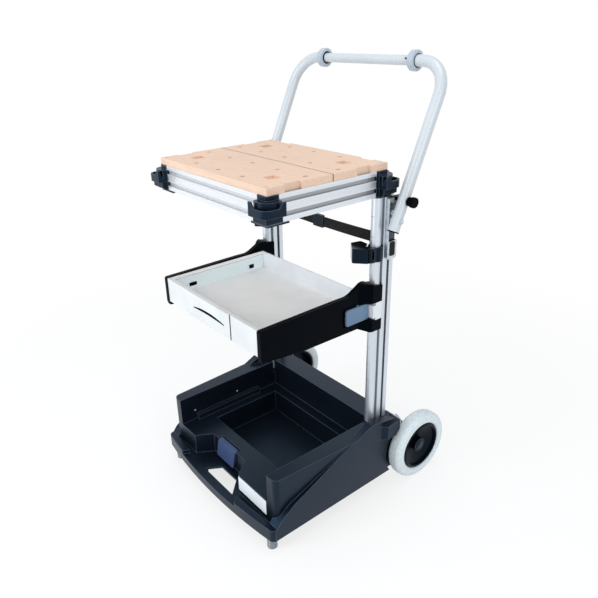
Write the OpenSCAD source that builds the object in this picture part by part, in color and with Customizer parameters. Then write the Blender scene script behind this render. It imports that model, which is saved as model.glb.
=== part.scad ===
// Mobile workbench: a bench top and a height-adjustable drawer on two posts, over a moulded base
// on two wheels, with a folding push handle. Origin on the floor, in the middle of the outline.
// +X is the right side, +Y the back, +Z up. Millimetres.

/* [Bench top] */
// Height of the bench top above the floor
bench_h = 922; // [900:1:940]
// Width of the boards
board_w = 441; // [430:1:452]
// Thickness of the boards
board_t = 16; // [12:1:20]
// Distance of the boards' front edge ahead of the origin
board_front = 244.6; // [235:0.1:255]
// Depth of the front board
front_board_d = 180; // [165:1:190]
// Depth of the rear board
rear_board_d = 170.4; // [160:0.1:180]
// Gap between the two boards
board_gap = 1; // [0.5:0.5:3]
// Distance between clamping holes
hole_pitch = 96; // [92:1:98]
// Diameter of a clamping hole
hole_d = 12; // [8:1:20]
// Distance of the grid's middle ahead of the origin
grid_y = 71; // [66:1:76]
// Side of a square cleat pocket
pocket_w = 30; // [20:1:36]
// Depth of a cleat pocket
pocket_t = 6; // [3:1:9]
// Distance of a cleat pocket from the middle line
pocket_x = 150; // [140:1:160]
// Length of an edge notch
notch_w = 45; // [30:1:50]
// Depth of an edge notch
notch_d = 9; // [5:1:12]
// Radius of a board screw's head
board_screw_r = 5; // [3:0.5:6]

/* [Bench rails] */
// Height of a rail
rail_h = 61; // [55:1:66]
// Thickness of a rail
rail_t = 14; // [12:1:16]
// How far a rail stands out from the boards
rail_proud = 2; // [1:0.5:4]
// Depth of a groove in a rail
groove_d = 6; // [4:0.5:7]
// Width of a groove in a rail
groove_w = 10; // [7:1:12]
// Length of a front corner piece's solid block
front_block = 32; // [31.5:0.5:36]
// Length of a rear corner piece's solid block
rear_block = 39; // [39:0.5:44]
// How far a corner piece's guard stands out from the rails
guard_out = 25; // [20:1:26]
// Length of a corner piece's guard along a rail
guard_l = 31; // [27:1:31]

/* [Posts] */
// Distance of a post's round column behind the origin
column_y = 76.5; // [72:0.5:80]
// Radius of the round column
column_r = 13; // [11:0.5:14]
// Width of the rear profile
profile_w = 28; // [26:1:30]
// Depth of the rear profile
profile_d = 36; // [34:1:38]
// Gap between the round column and the rear profile
neck_gap = 0.6; // [0.5:0.1:2]
// Width of the neck that joins them
neck_w = 9; // [6:1:12]
// Width of a slot in the profile
slot_w = 8; // [6:1:10]
// Height of the deck that a post stands on
deck_z = 217; // [212:1:222]

/* [Push handle] */
// Distance of a handle tube outside its post
handle_off = 40.5; // [39.5:0.5:44]
// Radius of the handle tube
handle_r = 14; // [12:0.5:15]
// Wall of the handle tube
handle_wall = 2; // [1.5:0.5:3]
// Lean of the handle behind the upright
handle_lean = 24.2; // [20:0.1:27]
// Length from the pivot to the cross bar
handle_len = 372.8; // [350:0.1:400]
// Length from the pivot down to the tube's end
handle_tail = 26; // [22:1:32]
// Bend radius on the tube's middle line
handle_bend = 76; // [60:1:90]
// Distance of a collar from the middle line
collar_x = 160; // [140:1:165]
// Outer radius of a collar
collar_r = 24.5; // [20:0.5:27]
// Width of a collar
collar_w = 18; // [12:1:24]
// Distance of the pivot behind the origin
pivot_y = 102; // [100:0.5:104]
// Depth of the pivot below the bench rails
pivot_drop = 53; // [48:1:60]
// Radius of the pivot bolt
pivot_r = 5; // [4:0.5:6]
// Distance of the clamping knob from the pivot, along the tube
knob_up = 49.3; // [46:0.1:52]
// Radius of the clamping knob
knob_r = 12.5; // [11:0.5:14]
// Length of the clamping knob
knob_l = 19; // [16:1:24]

/* [Hinge brackets] */
// Height of a hinge bracket
bracket_h = 155; // [150:1:160]
// Width of a hinge bracket
bracket_w = 32; // [30:1:34]
// Depth of a hinge bracket, out from the post
bracket_d = 10.4; // [9:0.1:10.8]
// Sheet thickness of a hinge bracket
bracket_t = 2.5; // [2:0.5:3]

/* [Strap] */
// Depth of a strap clamp's lower end below the bench rails
clamp_drop = 156; // [145:1:160]
// Height of a strap clamp
clamp_h = 37; // [30:1:40]
// Outer radius of a strap clamp's sleeve
clamp_r = 18.5; // [17.5:0.5:20]
// Width of the strap
strap_w = 28; // [24:1:30]
// Thickness of the strap
strap_t = 2; // [1.5:0.5:3]
// How far the strap hangs through in the middle
strap_sag = 3; // [1:1:12]
// Height of the strap above the strap clamps' lower ends
strap_up = 53; // [46:1:58]

/* [Drawer carrier] */
// Distance of a cheek's inner face inside the post's middle
cheek_inset = 16.9; // [15.5:0.1:18.5]
// Thickness of a cheek
cheek_t = 12.4; // [11:0.1:13.5]
// Front end of a cheek, ahead of the origin
cheek_front = 274.6; // [270:0.1:280]
// Depth of a cheek's upper edge below the strap clamps
carrier_drop = 80; // [74:1:110]
// Height of a cheek at its front
cheek_h = 80; // [76:1:88]
// Wall of the carrier's sleeve around the column
sleeve_wall = 3.2; // [2.5:0.1:4]
// Play between the carrier and the column
slide_play = 0.3; // [0.2:0.05:0.5]
// Height of the release lever's lower edge above the cheek's
lever_rise = 7; // [4:1:12]
// Height of the release lever
lever_h = 43; // [38:1:45]
// Thickness of the release lever
lever_t = 5; // [4:0.5:6]

/* [Drawer] */
// Distance of a drawer side's inner face inside the cheek
drawer_gap = 4.6; // [4.2:0.1:6.6]
// Height of the drawer's underside above the cheek's lower edge
drawer_rise = 11; // [8:1:14]
// Height of the drawer's front
drawer_h = 67; // [62:1:68]
// Thickness of the drawer's front
front_t = 12; // [9:1:15]
// Thickness of the drawer's floor
floor_t = 9; // [6:1:12]
// Rear face of the drawer, behind the origin
drawer_back = 46; // [42:1:50]
// Thickness of the drawer's back
back_t = 4; // [3:0.5:6]
// Thickness of a drawer side
side_t = 3; // [2:0.5:3.6]

/* [Base] */
// Underside of the base above the floor
base_z0 = 42; // [38:1:46]
// Height of the base's rim
rim_z = 211; // [208:1:214]
// Distance of a skirt outside its post's middle
skirt_off = 41.5; // [40:0.5:46]
// How much narrower the tub is at its front, on each side
tub_taper = 15; // [12:1:19]
// Front of the tub, ahead of the origin
tub_front = 274; // [270:1:278]
// Rear of the base, behind the origin
base_back = 144; // [141:1:147]
// Thickness of a side between the skirt and the open inside
side_wall = 50; // [48:1:54]
// Height of the ledge inside
ledge_z = 128; // [124:1:134]
// Width of the ledge beside the well
ledge_w = 40; // [34:1:46]
// Front of the well, ahead of the origin
well_front = 176; // [170:1:182]
// Rear of the well, behind the origin
well_back = 48; // [42:1:54]
// Height of the well's floor
well_z = 58; // [52:1:64]
// Wall of the moulding
wall = 6; // [4:0.5:8]
// Front of the lip in the middle, ahead of the origin
lip_front = 318; // [312:1:322]
// How far the lip's front falls back at its ends
lip_bow = 18; // [12:1:26]
// Height of the lip's bead
bead_h = 36; // [30:1:40]
// Depth of the lip's bead
bead_d = 20; // [14:1:24]
// Height of the lip's shelf
lip_shelf = 24; // [18:1:28]
// Width of the grip slot at its front
slot_front_w = 137; // [120:1:150]
// Width of the grip slot at its back
slot_back_w = 72; // [60:1:90]
// Depth of the grip slot
slot_depth = 41; // [34:1:44]

/* [Wheels and feet] */
// Radius of a wheel
wheel_r = 101.5; // [96:0.5:104]
// Width of a tyre
tyre_w = 44; // [36:1:46]
// How far a tyre's inner face lies inside the skirt
wheel_inset = 6.5; // [4:0.5:7.5]
// Distance of the axle behind the origin
axle_y = 216.5; // [212:0.5:220]
// Radius of the axle
axle_r = 8; // [6:0.5:10]
// Radius of the wheel rim
rim_r = 71; // [66:1:76]
// Radius of a foot
foot_r = 13.5; // [11:0.5:15]
// Distance of a foot inside the skirt
foot_inset = 30; // [26:1:36]
// Distance of a foot ahead of the origin
foot_y = 279; // [272:1:282]

/* [Hidden] */
$fn = 48;

// Small distance that lets a cut pass a face
eps = 1;
// Length that lets a cut pass any piece
far = 2 * bench_h;
// Play of a running fit on a shaft or pin
run_fit = 0.06;
// Gap between pieces that lie beside each other
seat_gap = 0.3;
// Gap round a fixed pin or screw in its hole
pin_seat = 0.05;

board_z = bench_h - board_t;
rail_z = board_z - rail_h;
post_x = board_w / 2;
handle_x = post_x + handle_off;
cheek_in = post_x - cheek_inset;
cheek_out = cheek_in + cheek_t;
drawer_in = cheek_in - drawer_gap;
pivot_z = rail_z - pivot_drop;
bracket_z1 = rail_z;
bracket_z0 = bracket_z1 - bracket_h;
clamp_z0 = rail_z - clamp_drop;
strap_z = clamp_z0 + strap_up;
cheek_z1 = clamp_z0 - carrier_drop;
cheek_z0 = cheek_z1 - cheek_h;
lever_z0 = cheek_z0 + lever_rise;
drawer_z0 = cheek_z0 + drawer_rise;
base_half = post_x + skirt_off;
tub_half = base_half - tub_taper;
inner_half = base_half - side_wall;
well_half = inner_half - ledge_w;
wheel_in = base_half - wheel_inset;
foot_x = base_half - foot_inset;
rail_x = board_w / 2 + rail_proud;
rail_y0 = -board_front - rail_proud;
board_back = -board_front + front_board_d + board_gap + rear_board_d;
rail_y1 = board_back + rail_proud;
profile_y0 = column_y + column_r + neck_gap;
profile_y1 = profile_y0 + profile_d;
profile_y = profile_y0 + profile_d / 2;
post_out = post_x + profile_w / 2;
bracket_x = post_out + seat_gap;
bracket_face = bracket_x + bracket_d;
handle_in = handle_x - handle_r;
wheel_mid = wheel_in + tyre_w / 2;
sleeve_r = column_r + slide_play;
sleeve_out = post_x + sleeve_r + sleeve_wall;
sleeve_y1 = profile_y0 - seat_gap;
drawer_out = drawer_in + side_t;

// Solids laid along an axis from a flat outline

module along_x(x0, x1) {
    translate([x0, 0, 0]) rotate([90, 0, 90]) linear_extrude(x1 - x0) children();
}

module along_y(y0, y1) {
    translate([0, y1, 0]) rotate([90, 0, 0]) linear_extrude(y1 - y0) children();
}

module along_z(z0, z1) {
    translate([0, 0, z0]) linear_extrude(z1 - z0) children();
}

module rod_x(r, x0, x1, y = 0, z = 0) {
    translate([x0, y, z]) rotate([0, 90, 0]) cylinder(r = r, h = x1 - x0);
}

module rod_z(r, z0, z1, x = 0, y = 0) {
    translate([x, y, z0]) cylinder(r = r, h = z1 - z0);
}

module block(x, y, z) {
    translate([x[0], y[0], z[0]]) cube([x[1] - x[0], y[1] - y[0], z[1] - z[0]]);
}

module round_rect(x0, x1, y0, y1, r) {
    translate([x0 + r, y0]) square([x1 - x0 - 2 * r, y1 - y0]);
    translate([x0, y0 + r]) square([x1 - x0, y1 - y0 - 2 * r]);
    for (x = [x0 + r, x1 - r], y = [y0 + r, y1 - r]) translate([x, y]) circle(r);
}

module left_side() {
    mirror([1, 0, 0]) children();
}

function arc(cx, cy, r, a0, a1, n = 6) =
    [for (i = [0 : n]) [cx + r * cos(a0 + (a1 - a0) * i / n), cy + r * sin(a0 + (a1 - a0) * i / n)]];

// Base

// Radius of the tub's front corners
tub_corner_r = 16;
// Where the tub's sides reach the skirts' width
waist_y = -5;
// Half width of the lip's straight part
lip_half = base_half - 18;
lip_sweep_r = (lip_half * lip_half + lip_bow * lip_bow) / (2 * lip_bow);
lip_angle = asin(lip_half / lip_sweep_r);
lip_end_y = -lip_front + lip_bow;
// Radius of the lip's corners, and where the lip ends inside the tub
lip_r = 16;
lip_back = -tub_front + 74;
// Side skirt outline: front foot, diagonal crease, raised ear and rear
skirt_points = [
    [lip_end_y + 12, base_z0], [lip_end_y + 12, base_z0 + 30], [-271, 93.5], [-229, 123], [-72, 192],
    [-7, rim_z], [base_back, rim_z], [base_back, base_z0]
];
ear_in = base_half - 22;
ear_points = [
    [waist_y, rim_z - 10], [waist_y, rim_z], [40, rim_z + 21], [60, rim_z + 21], [base_back, rim_z + 2],
    [base_back, rim_z - 10]
];
// Notch in the front wall that shows the latch
notch_front = [-168, 118];
notch_back = [-111, 45];
notch_y = -227;
arch_gap = 8;
// Guard over the wheel: how far it stands out, and where it begins
fender_out = 13;
fender_y = [80, 98];
fender_z = rim_z - 42;
// Bar along the foot of each inner side
bar_w = 12;
bar_h = 17;
bar_y = [-222, 8];
grip_y = -lip_front + 26;
grip_mid = [5.5, -2];

module tub_plan() {
    polygon(concat(
        arc(-tub_half + tub_corner_r, -tub_front + tub_corner_r, tub_corner_r, 180, 270),
        arc(tub_half - tub_corner_r, -tub_front + tub_corner_r, tub_corner_r, 270, 360),
        [[base_half, waist_y], [base_half, base_back], [-base_half, base_back], [-base_half, waist_y]]
    ));
}

module lip_plan(inset = 0) {
    r = lip_sweep_r - inset;
    corner = max(1, lip_r - inset);
    polygon(concat(
        arc(0, -lip_front + lip_sweep_r, r, 270 - lip_angle, 270 + lip_angle, 16),
        arc(base_half - lip_r, lip_end_y + lip_r, corner, 290, 360, 6),
        [[base_half - inset, lip_back], [-base_half + inset, lip_back]],
        arc(lip_r - base_half, lip_end_y + lip_r, corner, 180, 250, 6)
    ));
}

module base_shell() {
    along_z(base_z0, rim_z) tub_plan();
    for (s = [0, 1]) mirror([s, 0, 0]) {
        along_x(tub_half - tub_corner_r, base_half) polygon(skirt_points);
        along_x(ear_in, base_half) polygon(ear_points);
    }
    for (s = [0, 1]) mirror([s, 0, 0]) along_z(fender_z, rim_z) polygon([
        [base_half - eps, fender_y[0]], [base_half + fender_out, fender_y[1]],
        [base_half + fender_out, base_back], [base_half - eps, base_back]
    ]);
    block([-ear_in, ear_in], [well_back + 32, base_back], [rim_z - 10, deck_z]);
    along_z(base_z0, base_z0 + lip_shelf) lip_plan();
    along_z(base_z0, base_z0 + bead_h) difference() {
        lip_plan();
        lip_plan(bead_d);
    }
}

module base_inside() {
    difference() {
        block([-inner_half, inner_half], [-lip_front, well_back + 32], [ledge_z, deck_z + eps]);
        for (s = [0, 1]) mirror([s, 0, 0])
            block([inner_half - bar_w, inner_half + eps], bar_y, [ledge_z - eps, ledge_z + bar_h]);
    }
    block([-well_half, well_half], [-well_front, well_back], [well_z, ledge_z + eps]);
    along_z(base_z0 + lip_shelf, ledge_z + eps) polygon([
        [notch_front[0], -lip_front], [notch_front[1], -lip_front],
        [notch_back[1], notch_y], [notch_back[0], notch_y]
    ]);
}

module base_underside() {
    wall_in = -tub_front + 34;
    for (s = [0, 1]) mirror([s, 0, 0]) {
        block([well_half + wall, inner_half + wall], [wall_in, base_back - wall], [0, ledge_z - wall]);
        block([inner_half + wall, tub_half - wall], [wall_in, 60], [0, rim_z - wall]);
    }
    block([-well_half - wall, well_half + wall], [well_back + wall, base_back - wall], [0, ledge_z - wall]);
    block([-well_half - 18, well_half + 18], [well_back + 32 + wall, base_back - wall], [0, rim_z - wall]);
    block([notch_back[0] - 7, notch_back[1] + 15], [grip_y + 7, notch_y + 22], [0, base_z0 + lip_shelf - 5]);
}

module base_tub() {
    color("#2b2f36")
    difference() {
        base_shell();
        base_inside();
        base_underside();
        along_z(0, base_z0 + bead_h + eps) polygon([
            [grip_mid[0] - slot_front_w / 2, grip_y], [grip_mid[0] + slot_front_w / 2, grip_y],
            [grip_mid[1] + slot_back_w / 2, grip_y + slot_depth],
            [grip_mid[1] - slot_back_w / 2, grip_y + slot_depth]
        ]);
        for (s = [0, 1]) mirror([s, 0, 0]) {
            rod_x(wheel_r + arch_gap, wheel_in - 5.5, base_half + fender_out + eps, axle_y, wheel_r);
            rod_z(post_screw_r + pin_seat, rim_z - 40, deck_z + eps, screw_bore_x, column_y);
            rod_z(5.5, 0, base_z0 + 20, foot_x, -foot_y);
        }
        latch_slot();
    }
}

// Latch that holds a case in the well, and its pin

latch_x = [-84, 0];
latch_pin_z = ledge_z - 7;
latch_pin_y = notch_y + 6;
latch_pin_r = 2.5;

module latch_slot() {
    block([latch_x[0] - 3, latch_x[1] + 3], [notch_y - eps, notch_y + 16], [base_z0 + 30, ledge_z + eps]);
    rod_x(latch_pin_r + pin_seat, latch_x[0] - 12, latch_x[1] + 12, latch_pin_y, latch_pin_z);
}

module case_latch() {
    color("#5b6b86")
    difference() {
        union() {
            intersection() {
                along_x(latch_x[0], latch_x[1]) polygon([
                    [notch_y - 11, latch_pin_z - 45], [notch_y - 7, latch_pin_z - 48],
                    [notch_y + 2, latch_pin_z - 24], [notch_y + 6, latch_pin_z - 6],
                    [notch_y + 11, latch_pin_z + 2], [notch_y + 11, latch_pin_z + 7],
                    [notch_y + 6, latch_pin_z + 7], [notch_y - 3, latch_pin_z + 2]
                ]);
                along_y(notch_y - 30, notch_y + 30)
                    round_rect(latch_x[0], latch_x[1], latch_pin_z - 48, latch_pin_z + 30, 10);
            }
            rod_x(5, latch_x[0], latch_x[1], latch_pin_y, latch_pin_z);
        }
        rod_x(latch_pin_r + run_fit, latch_x[0] - eps, latch_x[1] + eps, latch_pin_y, latch_pin_z);
    }
}

module latch_pin() {
    color("#c9ccd0") rod_x(latch_pin_r, latch_x[0] - 12, latch_x[1] + 12, latch_pin_y, latch_pin_z);
}

plate_w = 122;
plate_h = 44;
plate_x1 = base_half - 56;

module front_plate() {
    color("white") block([plate_x1 - plate_w, plate_x1], [-tub_front - 1.2, -tub_front],
        [ledge_z - 3 - plate_h, ledge_z - 3]);
}

// Feet, axle and wheels

module foot() {
    rib_n = 5;
    rib_p = (base_z0 - 4) / rib_n;
    translate([foot_x, -foot_y, 0])
    rotate_extrude() polygon(concat(
        [[0, 0]],
        [for (i = [0 : rib_n - 1], k = [0 : 2])
            [foot_r - (k == 2 ? 1.6 : 0), i * rib_p + [0, rib_p * 0.6, rib_p * 0.8][k]]],
        [[foot_r, base_z0 - 4], [foot_r, base_z0], [5.4, base_z0], [5.4, base_z0 + 16], [0, base_z0 + 16]]
    ));
}

module feet() {
    color("#c8cbd0") for (s = [0, 1]) mirror([s, 0, 0]) foot();
}

hub_in = 3;
hub_out = 8;
hub_r = 21;
cap_r = 13;
cap_seat = 14;

module wheel_place() {
    translate([wheel_mid, axle_y, wheel_r]) rotate([0, 90, 0]) children();
}

module tyre() {
    half = tyre_w / 2;
    wheel_place() rotate_extrude($fn = 96) polygon(concat(
        [[rim_r, -half + 5]],
        arc(rim_r + 8, -half + 8, 8, 180, 270, 4),
        arc(wheel_r - 16, -half + 16, 16, 270, 345, 6),
        [[wheel_r, 0]],
        arc(wheel_r - 16, half - 16, 16, 15, 90, 6),
        arc(rim_r + 8, half - 8, 8, 90, 180, 4),
        [[rim_r, half - 5]]
    ));
}

module rim() {
    half = tyre_w / 2;
    wheel_place() difference() {
        union() {
            rotate_extrude($fn = 96) polygon([
                [hub_r - eps, -8], [rim_r - 8, half - 16], [rim_r - 6, -half + 6], [rim_r - 0.05, -half + 6],
                [rim_r - 0.05, half - 4], [rim_r - 5, half - 1], [rim_r - 8, half - 3],
                [rim_r - 9, half - 11], [hub_r + 1, -3], [hub_r - eps, -3]
            ]);
            translate([0, 0, hub_in - half]) cylinder(r = hub_r, h = tyre_w - hub_in - hub_out);
        }
        translate([0, 0, half - cap_seat]) cylinder(r = cap_r + 0.1, h = half);
        translate([0, 0, -half]) cylinder(r = axle_r + run_fit, h = 2 * tyre_w);
    }
}

module hub_cap() {
    wheel_place() translate([0, 0, tyre_w / 2 - cap_seat])
        rotate_extrude() polygon(concat([[0, 0], [cap_r, 0], [cap_r, cap_seat - hub_out]],
            [for (a = [20 : 14 : 90]) [cap_r * cos(a), cap_seat - hub_out + 4 * sin(a)]]));
}

axle_end = wheel_mid + tyre_w / 2 - cap_seat - 0.5;

module axle() {
    color("#b8bcc2") union() {
        rod_x(axle_r, -axle_end, axle_end, axle_y, wheel_r);
        for (s = [0, 1]) mirror([s, 0, 0]) difference() {
            rod_x(axle_r + 3, bracket_plate_x + 4 + seat_gap, wheel_in + hub_in - seat_gap, axle_y, wheel_r);
            rod_x(axle_r - 1, 0, wheel_in + 20, axle_y, wheel_r);
        }
    }
}

bracket_plate_x = base_half - 18;
bracket_low_z = base_z0 + 18;
bracket_foot = 46;

module axle_bracket() {
    difference() {
        union() {
            along_x(bracket_plate_x, bracket_plate_x + 4) {
                polygon([
                    [base_back, bracket_low_z], [base_back, rim_z + 1], [base_back + 16, rim_z + 1],
                    [axle_y + 16, wheel_r + 8], [axle_y + 16, wheel_r], [axle_y - 12, wheel_r - 16],
                    [axle_y - 37, bracket_low_z]
                ]);
                translate([axle_y, wheel_r]) circle(18);
            }
            block([bracket_plate_x - bracket_foot, bracket_plate_x + 4], [base_back, base_back + 4],
                [bracket_low_z, rim_z + 1]);
            block([ear_in - 18, base_half + fender_out], [base_back, base_back + 3], [rim_z - 8, deck_z]);
        }
        rod_x(axle_r + run_fit, 0, far, axle_y, wheel_r);
    }
}

module axle_brackets() {
    color("#cfd2d6") for (s = [0, 1]) mirror([s, 0, 0]) axle_bracket();
}

module tyre_left() { color("#d9dcda") left_side() tyre(); }

module tyre_right() { color("#d9dcda") tyre(); }

module rim_left() { color("#23262b") left_side() rim(); }

module rim_right() { color("#23262b") rim(); }

module hub_cap_left() { color("#4a5566") left_side() hub_cap(); }

module hub_cap_right() { color("#4a5566") hub_cap(); }

// Posts

slot_lip = 2.4;
slot_inner_w = 14;
slot_inner_d = 5;
post_screw_r = 4.2;
post_head_r = 6.4;
screw_bore_x = post_x - 5.5;

module slot_cut() {
    translate([-slot_w / 2, -slot_lip - eps]) square([slot_w, slot_lip + 2 * eps]);
    translate([-slot_inner_w / 2, -slot_lip - slot_inner_d]) square([slot_inner_w, slot_inner_d]);
}

module post_section() {
    difference() {
        union() {
            translate([post_x, column_y]) circle(column_r, $fn = 72);
            translate([post_x - neck_w / 2, column_y]) square([neck_w, column_r + neck_gap + 2]);
            round_rect(post_x - profile_w / 2, post_out, profile_y0, profile_y1, 2);
        }
        translate([post_x, profile_y1]) slot_cut();
        translate([post_out, profile_y]) rotate(-90) slot_cut();
        translate([post_x - profile_w / 2, profile_y]) rotate(90) slot_cut();
        translate([screw_bore_x, column_y]) circle(post_screw_r + pin_seat);
    }
}

module post() {
    along_z(deck_z, rail_z) post_section();
}

module post_left() { color("#b9c2cc") left_side() post(); }

module post_right() { color("#b9c2cc") post(); }

module post_screws() {
    color("#9a9ea3") for (s = [0, 1]) mirror([s, 0, 0]) {
        rod_z(post_screw_r, deck_z - 30, deck_z + 40, screw_bore_x, column_y);
        rod_z(post_screw_r, rail_z - 40, board_z - 14, screw_bore_x, column_y);
        rod_z(post_head_r, board_z - 14, board_z - 8, screw_bore_x, column_y);
    }
}

module post_screw_seat() {
    rod_z(post_screw_r + pin_seat, 0, bench_h, screw_bore_x, column_y);
    rod_z(post_head_r + 0.1, board_z - 14, bench_h, screw_bore_x, column_y);
}

// Bench rails and corner pieces

module rail_section() {
    v = groove_w / 2;
    low = rail_h * 0.27;
    high = rail_h * 0.745;
    difference() {
        square([rail_t, rail_h]);
        for (z = [low, high]) translate([rail_t - groove_d, z - v]) square([groove_d + eps, groove_w]);
        translate([rail_t - 1.2, low + v + 3]) square([1.2 + eps, high - low - groove_w - 6]);
        translate([3, rail_h / 2 - 5]) square([rail_t - 6, 10]);
    }
}

module rail_front() {
    color("#c3ccd6") along_x(-rail_x + front_block, rail_x - front_block)
    translate([rail_y0 + rail_t, rail_z]) mirror([1, 0]) rail_section();
}

module rail_rear() {
    color("#c3ccd6") along_x(-rail_x + rear_block, rail_x - rear_block)
    translate([rail_y1 - rail_t, rail_z]) rail_section();
}

module rail_side() {
    along_y(rail_y0 + front_block, rail_y1 - rear_block)
    translate([rail_x - rail_t, rail_z]) rail_section();
}

module rail_left() { color("#c3ccd6") left_side() rail_side(); }

module rail_right() { color("#c3ccd6") rail_side(); }

// A corner piece is drawn at a corner at (0, 0) with its arms along -X and +Y
corner_round = 9;
plug_l = 20;
head_l = 31;
head_out = 1;
neck_r = 30;
neck_in = 14;
guard_round = 22;
guard_wall = 4;
guard_z = [rail_h - 40, rail_h - 10];
guard_dip = 12;
foot_out = 15;
foot_l = 29;
flange_l = 57;
flange_t = 4;

module corner_block_plan(b) {
    r = corner_round;
    polygon(concat([[-b, 0]], arc(-r, r, r, 270, 360), [[0, b], [-rail_t, b], [-b, rail_t]]));
}

// Outline at a distance outside the rails, over a length along them
module corner_outline(out, len, r) {
    polygon(concat([[-len, -out]], arc(out - r, r - out, r, 270, 360), [[out, len], [-len, len]]));
}

// Guard: a floor, an outer wall that dips between its ends, and a web at each end
module corner_guard(z0, z1) {
    inner = guard_out - guard_wall;
    along_z(z0, z0 + guard_wall) corner_outline(guard_out, guard_l, guard_round);
    difference() {
        along_z(z0, z1) difference() {
            corner_outline(guard_out, guard_l, guard_round);
            corner_outline(inner, guard_l + eps, guard_round - guard_wall);
        }
        dip = [guard_l - 8, guard_l - 17];
        along_y(-guard_out - eps, 0) polygon([
            [-dip[0], z1 + eps], [-dip[1], z1 - guard_dip],
            [guard_out + eps, z1 - guard_dip], [guard_out + eps, z1 + eps]
        ]);
        along_x(0, guard_out + eps) polygon([
            [-guard_out - eps, z1 + eps], [-guard_out - eps, z1 - guard_dip],
            [dip[1], z1 - guard_dip], [dip[0], z1 + eps]
        ]);
    }
    web = [[inner + eps, z0 + eps], [inner + eps, z1 - 3], [9, z0 + guard_wall + 1], [9, z0 + eps]];
    along_y(guard_l - 3, guard_l) polygon(web);
    along_x(-guard_l, 3 - guard_l) polygon([for (p = web) [-p[0], p[1]]]);
}

// Foot that draws in towards its lower end on both outer faces
module corner_foot(z0, z1) {
    side = [[foot_out, z1], [foot_out, z0 + 6], [6, z0], [-foot_l, z0], [-foot_l, z1]];
    intersection() {
        along_y(-foot_out, foot_l) polygon(side);
        along_x(-foot_l, foot_out) polygon([for (p = side) [-p[0], p[1]]]);
    }
}

module corner_shape(b, low) {
    z = rail_z;
    along_z(z - low, board_z) corner_block_plan(b);
    along_z(board_z - 10, board_z) difference() {
        corner_outline(head_out, head_l, corner_round);
        translate([-head_l - eps, rail_t]) square([head_l + eps - rail_t, head_l]);
    }
    corner_foot(z + 1, z + guard_z[0] + eps);
    corner_guard(z + guard_z[0], z + guard_z[1]);
    intersection() {
        rod_z(neck_r, z + guard_z[0], z + guard_z[1], -neck_in, neck_in);
        along_z(z, board_z) corner_outline(neck_r, guard_l, 1);
    }
    mid = z + rail_h / 2;
    block([-b - plug_l, eps - b], [3.2, rail_t - 3.2], [mid - 4.8, mid + 4.8]);
    block([3.2 - rail_t, -3.2], [b - eps, b + plug_l], [mid - 4.8, mid + 4.8]);
}

// Thin flange under the rails of a front corner piece
module corner_flange() {
    z1 = rail_z - 0.15;
    along_z(rail_z - flange_t, z1) {
        polygon([[-flange_l, -head_out], [head_out, -head_out], [head_out, 2], [-flange_l + 6, rail_t]]);
        polygon([
            [-2, -head_out], [head_out, -head_out], [head_out, flange_l], [-rail_t, flange_l - 6], [-rail_t, 0]
        ]);
    }
}

module corner_at(x, y, sx, sy) {
    difference() {
        translate([x, y, 0]) mirror([sx, 0, 0]) mirror([0, sy, 0]) children(0);
        for (sx = [-1, 1], y = screw_y)
            rod_z(screw_r + pin_seat, board_z - 12, board_z + eps, sx * screw_x, y);
        if ($children > 1) children(1);
    }
}

module corner_front(side) {
    color("#191a1d") corner_at(side * rail_x, rail_y0, side < 0 ? 1 : 0, 0) union() {
        corner_shape(front_block, flange_t);
        corner_flange();
    }
}

module corner_front_right() { corner_front(1); }

module corner_front_left() { corner_front(-1); }

module corner_rear() {
    corner_at(rail_x, rail_y1, 0, 1) {
        corner_shape(rear_block, 0);
        post_screw_seat();
    }
}

module corner_rear_right() { color("#191a1d") corner_rear(); }

module corner_rear_left() { color("#191a1d") left_side() corner_rear(); }

// Boards

seam_y = -board_front + front_board_d;
screw_y = [-board_front + 12, board_back - 12];
screw_x = board_w / 2 - 12;
screw_r = 2;

module holes_at(row, columns) {
    for (c = columns) rod_z(hole_d / 2, 0, bench_h + eps, c * hole_pitch, -grid_y + row * hole_pitch);
}

module pocket(y) {
    for (s = [-1, 1]) block([s * pocket_x - pocket_w / 2, s * pocket_x + pocket_w / 2],
        [y - pocket_w / 2, y + pocket_w / 2], [bench_h - pocket_t, bench_h + eps]);
}

module side_notch(y) {
    for (s = [0, 1]) mirror([s, 0, 0])
        block([board_w / 2 - notch_d, board_w / 2 + eps], [y - notch_w / 2, y + notch_w / 2],
            [0, bench_h + eps]);
}

module screw_holes(y) {
    for (x = [-screw_x, screw_x]) {
        rod_z(screw_r + pin_seat, 0, bench_h + eps, x, y);
        rod_z(board_screw_r + 0.1, bench_h - 4, bench_h + eps, x, y);
    }
}

module board_front_half() {
    color("#edc48f") difference() {
        block([-board_w / 2, board_w / 2], [-board_front, seam_y], [board_z, bench_h]);
        holes_at(-1.5, [-1, 0, 1]);
        holes_at(-0.5, [-2, -1, 0, 1, 2]);
        pocket(-grid_y - 105);
        side_notch(-grid_y - 104);
        screw_holes(screw_y[0]);
    }
}

module board_rear_half() {
    color("#edc48f") difference() {
        block([-board_w / 2, board_w / 2], [seam_y + board_gap, board_back], [board_z, bench_h]);
        holes_at(0.5, [-2, -1, 0, 1, 2]);
        holes_at(1.5, [-1, 0, 1]);
        pocket(-grid_y + 105);
        side_notch(-grid_y + 102);
        for (s = [-1, 1]) block([s * 156 - notch_w / 2, s * 156 + notch_w / 2],
            [board_back - notch_d, board_back + eps], [0, bench_h + eps]);
        screw_holes(screw_y[1]);
    }
}

module board_screws() {
    color("#8a8d90") for (x = [-screw_x, screw_x], y = screw_y) {
        rod_z(screw_r, board_z - 10, bench_h - 4, x, y);
        rod_z(board_screw_r, bench_h - 4, bench_h - 1, x, y);
    }
}

// Hinge brackets, bolts and pads

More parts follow.
